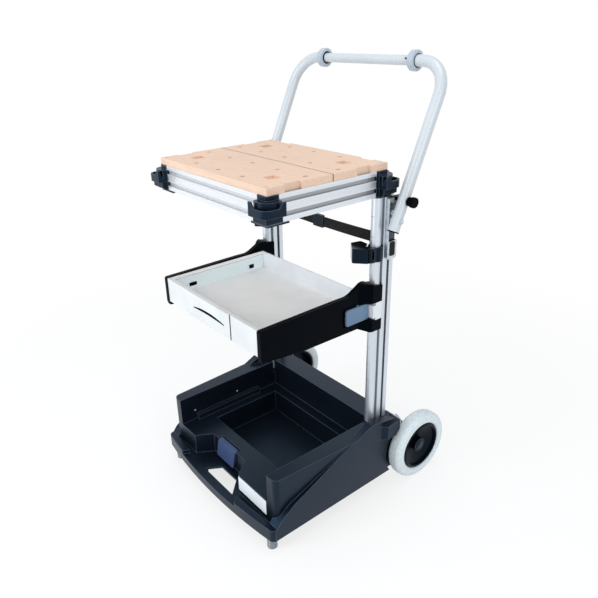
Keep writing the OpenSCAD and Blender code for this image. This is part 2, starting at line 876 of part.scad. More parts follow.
bracket_y0 = profile_y - bracket_w / 2;
bracket_y1 = profile_y + bracket_w / 2;
bolt_z = [bracket_z0 + 30, pivot_z + 14, bracket_z1 - 9];
bracket_r = 8;
flare_z = pivot_z + 20;
flare_y = 12;
// Opening that the clamping knob's bolt swings into when the handle is folded down
knob_bolt_r = 3.9;
knob_room = 3;
window_z0 = pivot_z - knob_up - knob_bolt_r - knob_room;

module bracket_side() {
    r = bracket_r;
    polygon(concat(
        [[bracket_y0, bracket_z1 - 3], [bracket_y0, bracket_z0 + r]],
        arc(bracket_y0 + r, bracket_z0 + r, r, 180, 270),
        arc(bracket_y1 - r, bracket_z0 + r, r, 270, 360),
        [[bracket_y1, flare_z], [bracket_y1 + flare_y, flare_z + 14], [bracket_y1 + flare_y, bracket_z1 - 3],
        [bracket_y1 + flare_y - 3, bracket_z1], [bracket_y0 + 3, bracket_z1]]
    ));
}

module hinge_bracket() {
    difference() {
        along_x(bracket_x, bracket_face) bracket_side();
        block([bracket_x + bracket_t, bracket_face + eps], [bracket_y0 + bracket_t, far],
            [window_z0, bracket_z1 + eps]);
        block([bracket_x + bracket_t, bracket_face - bracket_t],
            [bracket_y0 + bracket_t, bracket_y1 - bracket_t], [bracket_z0 + 14, window_z0 + eps]);
        rod_x(pivot_r + 0.1, 0, far, pivot_y, pivot_z);
        for (z = bolt_z) rod_x(4.1, 0, bracket_x + 4, profile_y, z);
    }
}

module hinge_bracket_left() { color("#c6cace") left_side() hinge_bracket(); }

module hinge_bracket_right() { color("#c6cace") hinge_bracket(); }

module bracket_bolts() {
    color("#a9adb2") for (s = [0, 1], z = bolt_z) mirror([s, 0, 0]) {
        rod_x(slot_w / 2 - 0.2, post_out - slot_lip - 3.5, bracket_x + bracket_t, profile_y, z);
        rod_x(6.6, post_out - slot_lip - 4, post_out - slot_lip - 0.1, profile_y, z);
        rod_x(6.5, bracket_x + bracket_t, bracket_x + bracket_t + 4, profile_y, z);
    }
}

pad_w = 17;

module bracket_pads() {
    color("#141517") for (s = [0, 1]) mirror([s, 0, 0])
        along_x(bracket_face, handle_in - seat_gap)
        round_rect(profile_y - pad_w / 2, profile_y + pad_w / 2, bracket_z0 + 9, window_z0 - 1, 4);
}

module pivot_bolts() {
    color("#b0b4b8") for (s = [0, 1]) mirror([s, 0, 0]) {
        rod_x(pivot_r, bracket_x + 0.2, handle_x + handle_r + 1, pivot_y, pivot_z);
        rod_x(pivot_r + 1, handle_x + handle_r + 0.3, handle_x + handle_r + 2.8, pivot_y, pivot_z);
        rod_x(pivot_r + 1.8, bracket_x + bracket_t, handle_in - seat_gap, pivot_y, pivot_z);
    }
}

// Push handle, drawn upright from its pivot and leaned back

bore_r = handle_r - handle_wall;
bar_end = collar_x + 2;

module leaned() {
    translate([0, pivot_y, pivot_z]) rotate([-handle_lean, 0, 0]) children();
}

module tube_path(r) {
    rod_z(r, -handle_tail, handle_len - handle_bend, handle_x, 0);
    translate([handle_x - handle_bend, 0, handle_len - handle_bend]) rotate([90, 0, 0])
        rotate_extrude(angle = 90, $fn = 96) translate([handle_bend, 0]) circle(r);
    rod_x(r, bar_end, handle_x - handle_bend, 0, handle_len);
}

module handle_tube() {
    leaned() difference() {
        tube_path(handle_r);
        tube_path_bore();
        rod_x(pivot_r + run_fit, 0, far, 0, 0);
        rod_x(knob_bolt_r + run_fit, 0, far, 0, knob_up);
    }
}

module tube_path_bore() {
    rod_z(bore_r, -handle_tail - eps, handle_len - handle_bend, handle_x, 0);
    translate([handle_x - handle_bend, 0, handle_len - handle_bend]) rotate([90, 0, 0])
        rotate_extrude(angle = 90, $fn = 96) translate([handle_bend, 0]) circle(bore_r);
    rod_x(bore_r, bar_end - eps, handle_x - handle_bend, 0, handle_len);
}

module handle_left() { color("#c9ced4") left_side() handle_tube(); }

module handle_right() { color("#c9ced4") handle_tube(); }

module handle_grip() {
    color("#d3d7db") leaned() rod_x(bore_r - 0.1, -bar_end - 14, bar_end + 14, 0, handle_len);
}

module handle_collars() {
    color("#b4bcc6") leaned() for (s = [0, 1]) mirror([s, 0, 0])
    translate([collar_x - collar_w / 2, 0, handle_len]) rotate([0, 90, 0]) difference() {
        rotate_extrude($fn = 72) polygon([
            [bore_r + 0.1, 0], [collar_r - 3, 0], [collar_r, 3], [collar_r, collar_w - 3],
            [collar_r - 3, collar_w], [bore_r + 0.1, collar_w]
        ]);
        translate([0, 0, bar_end - collar_x + collar_w / 2 - 0.2]) cylinder(r = handle_r + 0.2, h = collar_w);
    }
}

plug_cap = 3;
plug_depth = 12;

module handle_plugs() {
    color("#17181a") leaned() for (s = [0, 1]) mirror([s, 0, 0]) {
        rod_z(handle_r, -handle_tail - plug_cap, -handle_tail, handle_x, 0);
        rod_z(bore_r - 0.1, -handle_tail, -handle_tail + plug_depth, handle_x, 0);
    }
}

knob_x = handle_x + handle_r + 2;
knob_tip = bracket_x + bracket_t + seat_gap;
knob_head = 0.58 * knob_l;

module fluted_round(r, count, depth) {
    polygon([for (i = [0 : 4 * count - 1])
        let (a = i * 90 / count, out = floor(i / 2) % 2 == 0 ? r : r - depth)
        [out * cos(a), out * sin(a)]]);
}

module knob() {
    leaned() translate([knob_x, 0, knob_up]) rotate([0, 90, 0]) {
        translate([0, 0, knob_l - knob_head]) linear_extrude(knob_head) fluted_round(knob_r, 12, 0.9);
        cylinder(r = knob_r - 4, h = knob_l - knob_head + eps);
        cylinder(r = knob_r - 2, h = 0.2 * knob_l);
        translate([0, 0, knob_tip - knob_x]) cylinder(r = knob_bolt_r, h = knob_x - knob_tip + eps);
    }
}

module knob_left() { color("#1b1c1f") left_side() knob(); }

module knob_right() { color("#1b1c1f") knob(); }

// Strap and its clamps

clamp_z1 = clamp_z0 + clamp_h;
lever_pin = [post_x + 6, column_y - clamp_r - 6];
strap_y = column_y + 12.5;
strap_end = post_x - clamp_r - 6;

module clamp_plan() {
    difference() {
        union() {
            translate([post_x, column_y]) circle(clamp_r, $fn = 72);
            translate([post_x - 8, column_y - clamp_r - 4]) square([22, 12]);
            translate([strap_end, column_y + 4]) square([post_x - strap_end - 10, 8.5]);
        }
        translate([post_x, column_y]) circle(column_r + 0.15, $fn = 72);
        translate([post_x - neck_w / 2 - 1, column_y]) square([neck_w + 2, clamp_r + eps]);
        translate([post_x - 30, profile_y0 - 0.4]) square([60, 20]);
    }
}

module strap_clamp() {
    difference() {
        union() {
            along_z(clamp_z0, clamp_z1) clamp_plan();
            block([strap_end, strap_end + 7], [column_y + 4, column_y + 12.5],
                [clamp_z0, strap_z + strap_w / 2 + 2]);
        }
        block([lever_pin[0] - 9.3, lever_pin[0] + 40], [0, column_y - clamp_r + seat_gap],
            [clamp_z0 + 8 - 0.3, clamp_z1 - 8 + 0.3]);
    }
    rod_z(2.5, clamp_z0, clamp_z1, lever_pin[0], lever_pin[1]);
    for (z = [clamp_z0, clamp_z1 - 8]) rod_z(6, z, z + 8, lever_pin[0], lever_pin[1]);
}

module clamp_lever() {
    difference() {
        union() {
            rod_z(6, clamp_z0 + 8.3, clamp_z1 - 8.3, lever_pin[0], lever_pin[1]);
            translate(lever_pin) along_z(clamp_z0 + 8.3, clamp_z1 - 8.3)
                polygon([[2, -5.5], [-9, -9], [-9, 0.6], [-3, 0.6]]);
            translate(lever_pin) along_z(clamp_z0, clamp_z1) polygon(concat(
                arc(0, 0, 6.6, 176, 282),
                [[2.5, -9.5], [-24, -32], [-29, -32], [-60, -6], [-60, -1], [-55, 20], [-52, 22], [-29, 20]],
                [[-21, 8], [-15.5, 0.6]]
            ));
        }
        rod_z(2.5 + run_fit, 0, far, lever_pin[0], lever_pin[1]);
    }
}

module strap_clamp_left() { color("#101113") left_side() strap_clamp(); }

module strap_clamp_right() { color("#101113") strap_clamp(); }

module clamp_lever_left() { color("#101113") left_side() clamp_lever(); }

module clamp_lever_right() { color("#101113") clamp_lever(); }

function strap_mid(x) = strap_z - strap_sag * (1 - x * x / (strap_end * strap_end));

module strap_face(grow = 0, x0 = -strap_end, x1 = strap_end) {
    n = 24;
    xs = [for (i = [0 : n]) x0 + (x1 - x0) * i / n];
    polygon(concat(
        [for (x = xs) [x, strap_mid(x) - strap_w / 2 - grow]],
        [for (i = [n : -1 : 0]) [xs[i], strap_mid(xs[i]) + strap_w / 2 + grow]]
    ));
}

module strap() {
    color("#1a1a1c") along_y(strap_y - strap_t - 2, strap_y - 2) strap_face();
}

buckle_x = [-16, 22];

module strap_buckle() {
    y = strap_y - 2;
    color("#121214") along_y(y, y + 3) strap_face(3, buckle_x[0], buckle_x[1]);
    color("#121214") along_y(y - strap_t - 3, y - strap_t) strap_face(3, buckle_x[0], buckle_x[1]);
}

// Drawer carrier: cheeks, cross bar, column clamps and release levers

sleeve_y0 = column_y - sleeve_r - sleeve_wall;

module cheek_outline() {
    front = -cheek_front;
    z0 = cheek_z0;
    z1 = cheek_z1;
    polygon(concat(
        [[front, z0 + 9], [front + 3, z0]],
        [[front + 63.6, z0 - 6.5], [front + 129, z0 - 12.6], [front + 263.3, z0 - 14.7]],
        [[sleeve_y0 - 35, z0 - 15], [sleeve_y0 - 8, z0 - 27], [sleeve_y1, z0 - 27], [sleeve_y1, z1 + 15]],
        arc(sleeve_y0 - 14, z1 - 1, 27, 55, 125, 6),
        [[sleeve_y0 - 58, z1 + 6], [sleeve_y0 - 72, z1 + 2], [sleeve_y0 - 102, z1 + 2.5]],
        [[front + 3, z1], [front, z1 - 4]]
    ));
}

clamp_low = lever_z0 - 3;
clamp_high = lever_z0 + lever_h + 2;

module cheek() {
    difference() {
        union() {
            along_x(cheek_in, cheek_out) cheek_outline();
            intersection() {
                along_x(cheek_in, sleeve_out) cheek_outline();
                along_z(0, far) polygon([
                    [cheek_out - eps, sleeve_y0 - 34], [sleeve_out, sleeve_y0 - 2], [sleeve_out, sleeve_y1],
                    [cheek_in, sleeve_y1], [cheek_in, sleeve_y0 - 34]
                ]);
            }
        }
        rod_z(sleeve_r, 0, far, post_x, column_y);
        block([post_x - neck_w / 2 - 1, post_x + neck_w / 2 + 1], [column_y, far], [0, far]);
        block([window_x, far], [lever_y0 - 5, far], [clamp_low, clamp_high]);
        rod_z(lever_pin_r + pin_seat, clamp_low - 12, clamp_high + 12, lever_pivot_x, lever_pivot_y);
    }
}

module carrier_rail() {
    y = drawer_back + 7;
    color("#c4ced3") along_x(-cheek_in, cheek_in) polygon([
        [y, drawer_z0 + 8], [y + 9, drawer_z0 + 8], [y + 9, drawer_z0 + 11], [y + 3, drawer_z0 + 11],
        [y + 3, drawer_z0 + drawer_h - 12], [y, drawer_z0 + drawer_h - 12]
    ]);
}

// Release lever turns about an upright pin in the carrier
lever_pin_r = 2;
window_x = cheek_out - 7;
lever_pivot_x = window_x + 4.5;
lever_pivot_y = 26;
lever_y0 = -19;
lever_x = cheek_out + 1.5;

module release_lever() {
    difference() {
        union() {
            along_x(lever_x, lever_x + lever_t)
                round_rect(lever_y0, sleeve_y0 - 3, lever_z0, lever_z0 + lever_h, 7);
            rod_z(4, lever_z0, lever_z0 + lever_h, lever_pivot_x, lever_pivot_y);
            block([lever_pivot_x, lever_x + eps], [lever_pivot_y - 4, lever_pivot_y + 4],
                [lever_z0, lever_z0 + lever_h]);
        }
        rod_z(lever_pin_r + run_fit, 0, far, lever_pivot_x, lever_pivot_y);
    }
}

module lever_pins() {
    color("#c9ccd0") for (s = [0, 1]) mirror([s, 0, 0])
        rod_z(lever_pin_r, clamp_low - 12, clamp_high + 12, lever_pivot_x, lever_pivot_y);
}

module release_lever_left() { color("#7f93ab") left_side() release_lever(); }

module release_lever_right() { color("#7f93ab") release_lever(); }

module column_clamp() {
    x1 = sleeve_out + 0.4;
    inner = post_x + neck_w / 2 + 1;
    difference() {
        along_z(clamp_low + seat_gap, clamp_high - seat_gap) difference() {
            polygon([
                [window_x + seat_gap, sleeve_y0 - 1], [x1, sleeve_y0 - 1], [x1, sleeve_y1],
                [inner, sleeve_y1], [inner, column_y], [window_x + seat_gap, column_y]
            ]);
            translate([post_x, column_y]) circle(sleeve_r, $fn = 72);
        }
        for (z = [clamp_low, clamp_high - 7]) block([cheek_out, far], [0, sleeve_y0 + 8], [z, z + 7]);
    }
}

module column_clamp_left() { color("#e8eaec") left_side() column_clamp(); }

module column_clamp_right() { color("#e8eaec") column_clamp(); }

module cheek_left() { color("#141518") left_side() cheek(); }

module cheek_right() { color("#141518") cheek(); }

// Drawer

drawer_top = drawer_z0 + drawer_h;
drawer_front_y = -cheek_front;
floor_z = drawer_z0 + 8;
slide_z = [floor_z + 2, floor_z + 30];
front_play = 0.4;
grip_half = 70;
grip_drop = 7;
grip_z = drawer_z0 + 30;
// Steel left behind the runner's channel
side_skin = 1.2;

module drawer_front() {
    sag_r = (grip_half * grip_half + grip_drop * grip_drop) / (2 * grip_drop);
    color("#eceef0") difference() {
        block([-cheek_in + front_play, cheek_in - front_play],
            [drawer_front_y, drawer_front_y + front_t], [drawer_z0, drawer_top]);
        along_y(drawer_front_y - eps, drawer_front_y + front_t - 3) intersection() {
            translate([0, grip_z + sag_r]) difference() {
                circle(sag_r, $fn = 160);
                translate([0, 4]) circle(sag_r, $fn = 160);
            }
            translate([-grip_half, grip_z - 10]) square([2 * grip_half, 20]);
        }
    }
}

module drawer_floor() {
    color("#f0f1f2") block([-drawer_in, drawer_in], [drawer_front_y + front_t, drawer_back - back_t],
        [floor_z, floor_z + floor_t]);
}

module drawer_back_panel() {
    color("#f0f1f2")
        block([-drawer_in, drawer_in], [drawer_back - back_t, drawer_back], [drawer_z0, drawer_top]);
}

module drawer_sides() {
    skin = drawer_in + side_skin;
    color("#c4ced3") for (s = [0, 1]) mirror([s, 0, 0]) along_y(drawer_front_y + front_t, drawer_back) polygon([
        [drawer_in, drawer_z0], [drawer_out, drawer_z0], [drawer_out, slide_z[0]], [skin, slide_z[0]],
        [skin, slide_z[1]], [drawer_out, slide_z[1]], [drawer_out, drawer_top], [drawer_in, drawer_top]
    ]);
}

clip_l = 14;
clip_h = 8;
clip_t = 1.5;
clip_y = [drawer_front_y + 73.6, drawer_back - 46];

module drawer_clips() {
    z = floor_z + floor_t + clip_h;
    color("#26292d") for (s = [0, 1], y = clip_y) mirror([s, 0, 0])
        block([drawer_in - clip_t, drawer_in], [y - clip_l / 2, y + clip_l / 2], [z, z + clip_h]);
}

runner_gap = 0.3;
runner_in = 8;

module drawer_runners() {
    color("#a7adb3") for (s = [0, 1]) mirror([s, 0, 0])
        block([drawer_in + side_skin + 0.2, cheek_in],
            [drawer_front_y + front_t + runner_in, drawer_back + runner_in - 2],
            [slide_z[0] + runner_gap, slide_z[1] - runner_gap]);
}

base_tub();
front_plate();
case_latch();
latch_pin();
feet();
axle();
axle_brackets();
tyre_left();
tyre_right();
rim_left();
rim_right();
hub_cap_left();
hub_cap_right();
post_left();
post_right();
post_screws();
rail_front();
rail_rear();
rail_left();
rail_right();
corner_front_left();
corner_front_right();
corner_rear_left();
corner_rear_right();
board_front_half();
board_rear_half();
board_screws();
hinge_bracket_left();
hinge_bracket_right();
bracket_bolts();
bracket_pads();
pivot_bolts();
handle_left();
handle_right();
handle_grip();
handle_collars();
handle_plugs();
knob_left();
knob_right();
strap();
strap_buckle();
strap_clamp_left();
strap_clamp_right();
clamp_lever_left();
clamp_lever_right();
cheek_left();
cheek_right();
carrier_rail();
column_clamp_left();
column_clamp_right();
release_lever_left();
release_lever_right();
lever_pins();
drawer_front();
drawer_floor();
drawer_back_panel();
drawer_sides();
drawer_clips();
drawer_runners();
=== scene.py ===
import bmesh
import bpy
import math
from mathutils import Matrix, Vector


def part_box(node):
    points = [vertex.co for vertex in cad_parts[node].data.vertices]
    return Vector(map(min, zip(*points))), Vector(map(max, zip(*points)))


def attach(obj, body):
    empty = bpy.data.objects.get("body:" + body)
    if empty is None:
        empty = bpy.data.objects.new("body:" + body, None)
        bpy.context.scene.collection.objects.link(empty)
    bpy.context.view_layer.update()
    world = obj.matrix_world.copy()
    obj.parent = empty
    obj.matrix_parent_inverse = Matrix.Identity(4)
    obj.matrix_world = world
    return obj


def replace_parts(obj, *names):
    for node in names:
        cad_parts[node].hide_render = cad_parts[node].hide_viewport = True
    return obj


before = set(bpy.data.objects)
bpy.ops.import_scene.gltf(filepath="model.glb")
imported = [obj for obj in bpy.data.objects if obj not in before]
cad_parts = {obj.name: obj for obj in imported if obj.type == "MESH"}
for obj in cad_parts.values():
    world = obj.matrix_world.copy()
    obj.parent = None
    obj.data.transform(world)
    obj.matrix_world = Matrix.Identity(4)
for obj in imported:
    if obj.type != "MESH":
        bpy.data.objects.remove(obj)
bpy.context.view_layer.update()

# Camera, solved from the bench top, wheels and posts in the photograph of 598 x 598 pixels

IMAGE = 598
CAMERA_AT = Vector((1.1679, -0.9425, 1.2184))
AZIMUTH = math.radians(51.9)
ELEVATION = math.radians(24.45)
ROLL = math.radians(-1.6)
FOCAL_PX = 601.8
CENTRE_PX = (287.1, 297.8)


def make_camera():
    back = Vector((
        math.sin(AZIMUTH) * math.cos(ELEVATION),
        -math.cos(AZIMUTH) * math.cos(ELEVATION),
        math.sin(ELEVATION),
    ))
    level = Vector((0, 0, 1)).cross(back).normalized()
    upright = back.cross(level)
    right = math.cos(ROLL) * level + math.sin(ROLL) * upright
    up = math.cos(ROLL) * upright - math.sin(ROLL) * level
    turn = Matrix((right, up, back)).transposed().to_4x4()
    data = bpy.data.cameras.new("camera")
    data.sensor_width = 36
    data.lens = FOCAL_PX / IMAGE * data.sensor_width
    data.shift_x = (IMAGE / 2 - CENTRE_PX[0]) / IMAGE
    data.shift_y = (CENTRE_PX[1] - IMAGE / 2) / IMAGE
    camera = bpy.data.objects.new("camera", data)
    camera.matrix_world = Matrix.Translation(CAMERA_AT) @ turn
    bpy.context.scene.collection.objects.link(camera)
    bpy.context.scene.camera = camera


# Light, floor and backdrop

NEUTRAL = (1, 1, 1)
WORLD_COLOUR = (0.92, 0.96, 1.0)
WORLD_LIGHT = 0.62
FLOOR_SIZE = 30
# Distances from the middle at which the floor starts to fade into the backdrop and is gone
FLOOR_FADE = (0.7, 1.8)
# Share of plain white in the floor near the object
FLOOR_LIFT = 0.74

# Each lamp's name, place, aim, size, watts and colour
LAMPS = (
    ("key", (-0.5, -3.0, 2.2), (0, 0, 0.5), 1.5, 30, NEUTRAL),
    ("front", (-0.6, -2.7, 0.75), (0, 0, 0.4), 1.3, 18, (0.78, 0.90, 1.0)),
    ("side", (3.0, -0.8, 1.7), (0, 0, 0.5), 1.6, 24, NEUTRAL),
    ("top", (0.2, 0.1, 3.4), (0, 0, 0.6), 1.6, 20, NEUTRAL),
)


def area_light(name, at, target, size, watts, colour):
    data = bpy.data.lights.new(name, "AREA")
    data.shape = "DISK"
    data.size = size
    data.energy = watts
    data.color = colour
    lamp = bpy.data.objects.new(name, data)
    lamp.location = at
    lamp.rotation_euler = (Vector(target) - Vector(at)).to_track_quat("-Z", "Y").to_euler()
    bpy.context.scene.collection.objects.link(lamp)


def camera_or_mirror(tree):
    """1 for rays that come from the camera or from a mirror-like or clear surface, 0 for the rest."""
    path = tree.nodes.new("ShaderNodeLightPath")
    total = path.outputs["Is Camera Ray"]
    for kind in ("Is Glossy Ray", "Is Transmission Ray"):
        either = tree.nodes.new("ShaderNodeMath")
        either.operation = "MAXIMUM"
        tree.links.new(total, either.inputs[0])
        tree.links.new(path.outputs[kind], either.inputs[1])
        total = either.outputs[0]
    return total


def make_world():
    world = bpy.data.worlds.new("studio")
    bpy.context.scene.world = world
    world.use_nodes = True
    tree = world.node_tree
    tree.nodes.clear()
    out = tree.nodes.new("ShaderNodeOutputWorld")
    soft = tree.nodes.new("ShaderNodeBackground")
    soft.inputs["Color"].default_value = (*WORLD_COLOUR, 1)
    soft.inputs["Strength"].default_value = WORLD_LIGHT
    white = tree.nodes.new("ShaderNodeBackground")
    white.inputs["Color"].default_value = (*NEUTRAL, 1)
    white.inputs["Strength"].default_value = 1.0
    mix = tree.nodes.new("ShaderNodeMixShader")
    tree.links.new(camera_or_mirror(tree), mix.inputs[0])
    tree.links.new(soft.outputs[0], mix.inputs[1])
    tree.links.new(white.outputs[0], mix.inputs[2])
    tree.links.new(mix.outputs[0], out.inputs[0])


def make_floor():
    """A white floor that keeps the shadow near the object and fades into the backdrop further out."""
    mesh = bpy.data.meshes.new("floor")
    s = FLOOR_SIZE / 2
    mesh.from_pydata([(-s, -s, 0), (s, -s, 0), (s, s, 0), (-s, s, 0)], [], [(0, 1, 2, 3)])
    floor = bpy.data.objects.new("floor", mesh)
    bpy.context.scene.collection.objects.link(floor)
    material = bpy.data.materials.new("floor")
    material.use_nodes = True
    tree = material.node_tree
    shader = tree.nodes["Principled BSDF"]
    shader.inputs["Base Color"].default_value = (*NEUTRAL, 1)
    shader.inputs["Roughness"].default_value = 1.0
    shader.inputs["Specular IOR Level"].default_value = 0.0
    place = tree.nodes.new("ShaderNodeTexCoord")
    length = tree.nodes.new("ShaderNodeVectorMath")
    length.operation = "LENGTH"
    tree.links.new(place.outputs["Object"], length.inputs[0])
    fade = tree.nodes.new("ShaderNodeMapRange")
    fade.inputs["From Min"].default_value = FLOOR_FADE[0]
    fade.inputs["From Max"].default_value = FLOOR_FADE[1]
    fade.inputs["To Min"].default_value = FLOOR_LIFT
    tree.links.new(length.outputs["Value"], fade.inputs["Value"])
    share = tree.nodes.new("ShaderNodeMath")
    share.operation = "MULTIPLY"
    tree.links.new(fade.outputs["Result"], share.inputs[0])
    tree.links.new(camera_or_mirror(tree), share.inputs[1])
    white = tree.nodes.new("ShaderNodeEmission")
    mix = tree.nodes.new("ShaderNodeMixShader")
    tree.links.new(share.outputs[0], mix.inputs[0])
    tree.links.new(shader.outputs[0], mix.inputs[1])
    tree.links.new(white.outputs[0], mix.inputs[2])
    tree.links.new(mix.outputs[0], tree.nodes["Material Output"].inputs["Surface"])
    mesh.materials.append(material)


# Materials; lengths in metres

SLATE = (0.0038, 0.0052, 0.0085)
BLACK = (0.0012, 0.0014, 0.002)
ALUMINIUM = (0.66, 0.71, 0.77)
SEAM_GREY = (0.3, 0.33, 0.35)
# Tint of the gloss on dark plastic, and the colour of the highlight painted on its edges
COOL = (0.26, 0.56, 1.0)
EDGE_HIGHLIGHT = (0.09, 0.12, 0.165)
# Radius of edges rounded in the shading, and the cosines at which their painted highlight starts and is
# full
EDGE_RADIUS = 0.0022
EDGE_TURN = (0.99, 0.88)
# Depths between which painted shade darkens the grooves of a drawn profile
GROOVE_SHADE_FADE = (0.001, 0.0045)
# Depth of a post's rear profile and of the neck ahead of it
PROFILE_DEPTH = 0.036
NECK_DEPTH = 0.003
# Depths between which painted shade darkens a hinge bracket's channel, and the share of its colour that is
# left
CHANNEL_SHADE_FADE = (0.0015, 0.003)
CHANNEL_SHADE = 0.12
# Distances from the seam between the boards over which painted shade darkens it, and the share that is left
SEAM_SHADE_FADE = (0.0026, 0.0012)
SEAM_SHADE = 0.4
# Height of the drawer sides' folded rim, and how far its seam's shading reaches either way
RIM_BAND = 0.0087
RIM_SEAM = 0.001


class Paint:
    """A material with a Principled shader and short calls for its nodes."""

    def __init__(self, name, colour, roughness, metallic=0.0, specular=0.5):
        self.material = bpy.data.materials.new(name)
        self.material.use_nodes = True
        self.tree = self.material.node_tree
        self.shader = self.tree.nodes["Principled BSDF"]
        self.colour = colour
        self.shader.inputs["Base Color"].default_value = (*colour, 1)
        self.shader.inputs["Roughness"].default_value = roughness
        self.shader.inputs["Metallic"].default_value = metallic
        self.shader.inputs["Specular IOR Level"].default_value = specular
        self.place = self.node("ShaderNodeTexCoord").outputs["Object"]
        self.normal = None

    def node(self, kind, **values):
        """A new node; an underscore in a value's name stands for a space in the socket's."""
        made = self.tree.nodes.new(kind)
        for name, value in values.items():
            made.inputs[name.replace("_", " ")].default_value = value
        return made

    def link(self, a, b):
        self.tree.links.new(a, b)

    def noise(self, scale, detail=3.0, stretch=(1, 1, 1), roughness=0.5):
        mapping = self.node("ShaderNodeMapping", Scale=stretch)
        self.link(self.place, mapping.inputs["Vector"])
        made = self.node("ShaderNodeTexNoise", Scale=scale, Detail=detail, Roughness=roughness)
        self.link(mapping.outputs["Vector"], made.inputs["Vector"])
        return made.outputs["Fac"]

    def math(self, operation, a, b=None):
        made = self.node("ShaderNodeMath")
        made.operation = operation
        for socket, value in zip(made.inputs, (a, b)):
            if isinstance(value, float):
                socket.default_value = value
            elif value is not None:
                self.link(value, socket)
        return made.outputs[0]

    def axis(self, name):
        apart = self.node("ShaderNodeSeparateXYZ")
        self.link(self.place, apart.inputs[0])
        return apart.outputs[name.upper()]

    def inside(self, axis, face):
        """Distance from an outer face towards the middle plane."""
        return self.math("SUBTRACT", float(abs(face)), self.math("ABSOLUTE", self.axis(axis)))

    def step(self, value, start, end):
        """Goes from 0 to 1 as the value goes from start to end."""
        made = self.node("ShaderNodeMapRange", From_Min=start, From_Max=end)
        self.link(value, made.inputs["Value"])
        return made.outputs["Result"]

    def ramp_colour(self, fac, stops):
        """Takes the base colour from a ramp with a colour at each stop."""
        made = self.node("ShaderNodeValToRGB")
        ramp = made.color_ramp
        while len(ramp.elements) < len(stops):
            ramp.elements.new(0.5)
        for element, (at, colour) in zip(ramp.elements, stops):
            element.position = at
            element.color = (*colour, 1)
        self.link(fac, made.inputs["Fac"])
        self.link(made.outputs["Color"], self.shader.inputs["Base Color"])

    def tint(self, fac, low, high, at=(0.35, 0.65)):
        """Base colour that drifts between two shares of the plain colour."""
        self.ramp_colour(fac, [
            (at[0], [c * low for c in self.colour]), (at[1], [min(1, c * high) for c in self.colour]),
        ])

    def lay_over(self, fac, colour, blend):
        """Blends a colour into the base colour where the factor is 1."""
        socket = self.shader.inputs["Base Color"]
        mix = self.node("ShaderNodeMix")
        mix.data_type = "RGBA"
        mix.blend_type = blend
        factor, _, _, _, _, _, first, second = mix.inputs[:8]
        self.link(fac, factor)
        self.link(socket.links[0].from_socket, first)
        second.default_value = (*colour, 1)
        self.link(mix.outputs[2], socket)

    def shade(self, fac, share):
        """Multiplies the base colour by a share where the factor is 1."""
        self.lay_over(fac, (share, share, share), "MULTIPLY")

    def rough(self, fac, low, high):
        made = self.node("ShaderNodeMapRange", To_Min=low, To_Max=high)
        self.link(fac, made.inputs["Value"])
        self.link(made.outputs["Result"], self.shader.inputs["Roughness"])

    def set_normal(self, normal):
        self.normal = normal
        self.link(normal, self.shader.inputs["Normal"])

    def round_edges(self, edge_highlight):
        """Rounds the edges in the shading and paints a lighter colour on them as a highlight."""
        rounded = self.node("ShaderNodeBevel", Radius=EDGE_RADIUS).outputs["Normal"]
        flat = self.node("ShaderNodeNewGeometry").outputs["Normal"]
        cosine = self.node("ShaderNodeVectorMath")
        cosine.operation = "DOT_PRODUCT"
        self.link(rounded, cosine.inputs[0])
        self.link(flat, cosine.inputs[1])
        self.lay_over(self.step(cosine.outputs["Value"], *EDGE_TURN), edge_highlight, "MIX")
        self.set_normal(rounded)

    def bump(self, fac, depth):
        made = self.node("ShaderNodeBump", Distance=depth)
        self.link(fac, made.inputs["Height"])
        if self.normal:
            self.link(self.normal, made.inputs["Normal"])
        self.set_normal(made.outputs["Normal"])


def textured_plastic(name, colour, roughness, grain=0.00012, specular=0.5, sheen=NEUTRAL, edge_highlight=None):
    """Moulded plastic with a fine eroded grain and faint handling marks; sheen tints its gloss, and an edge
    highlight, where given, is painted on its rounded edges.
    """
    p = Paint(name, colour, roughness, specular=specular)
    p.shader.inputs["Specular Tint"].default_value = (*sheen, 1)
    p.tint(p.noise(9, 4), 0.88, 1.14)
    # Painted highlight: a lighter colour on the rounded edges
    if edge_highlight:
        p.round_edges(edge_highlight)
    p.rough(p.noise(60, 2), roughness - 0.05, roughness + 0.07)
    p.bump(p.noise(900, 2), grain)
    return p.material


def smooth_plastic(name, colour, roughness, coat=0.0, specular=0.5, sheen=NEUTRAL):
    p = Paint(name, colour, roughness, specular=specular)
    p.shader.inputs["Specular Tint"].default_value = (*sheen, 1)
    p.tint(p.noise(14, 2), 0.96, 1.04)
    p.rough(p.noise(40, 3), roughness - 0.04, roughness + 0.05)
    p.bump(p.noise(160, 2), 0.00004)
    p.shader.inputs["Coat Weight"].default_value = coat
    return p.material


def drawn_metal(name, colour, roughness, along, depth, groove_shade=0.42, metallic=0.85):
    """Anodised aluminium with the fine lines that drawing leaves along it, and painted shade that darkens
    its grooves.
    """
    p = Paint(name, colour, roughness, metallic=metallic)
    across = [900, 900, 900]
    across["xyz".index(along)] = 4
    lines = p.noise(1, 2, across)
    p.tint(lines, 0.94, 1.05)
    # Painted shade: the colour darkens with depth into the grooves
    p.shade(p.step(depth(p), *GROOVE_SHADE_FADE), groove_shade)
    p.rough(p.noise(30, 2), roughness - 0.05, roughness + 0.08)
    p.bump(lines, 0.00002)
    return p.material


def rail_depth(rail, axis, corner):
    """Distance inside a rail's outer face, which its box's low (0) or high (1) corner touches."""
    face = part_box(rail)[corner]["xyz".index(axis)]
    return lambda p: p.inside(axis, face)


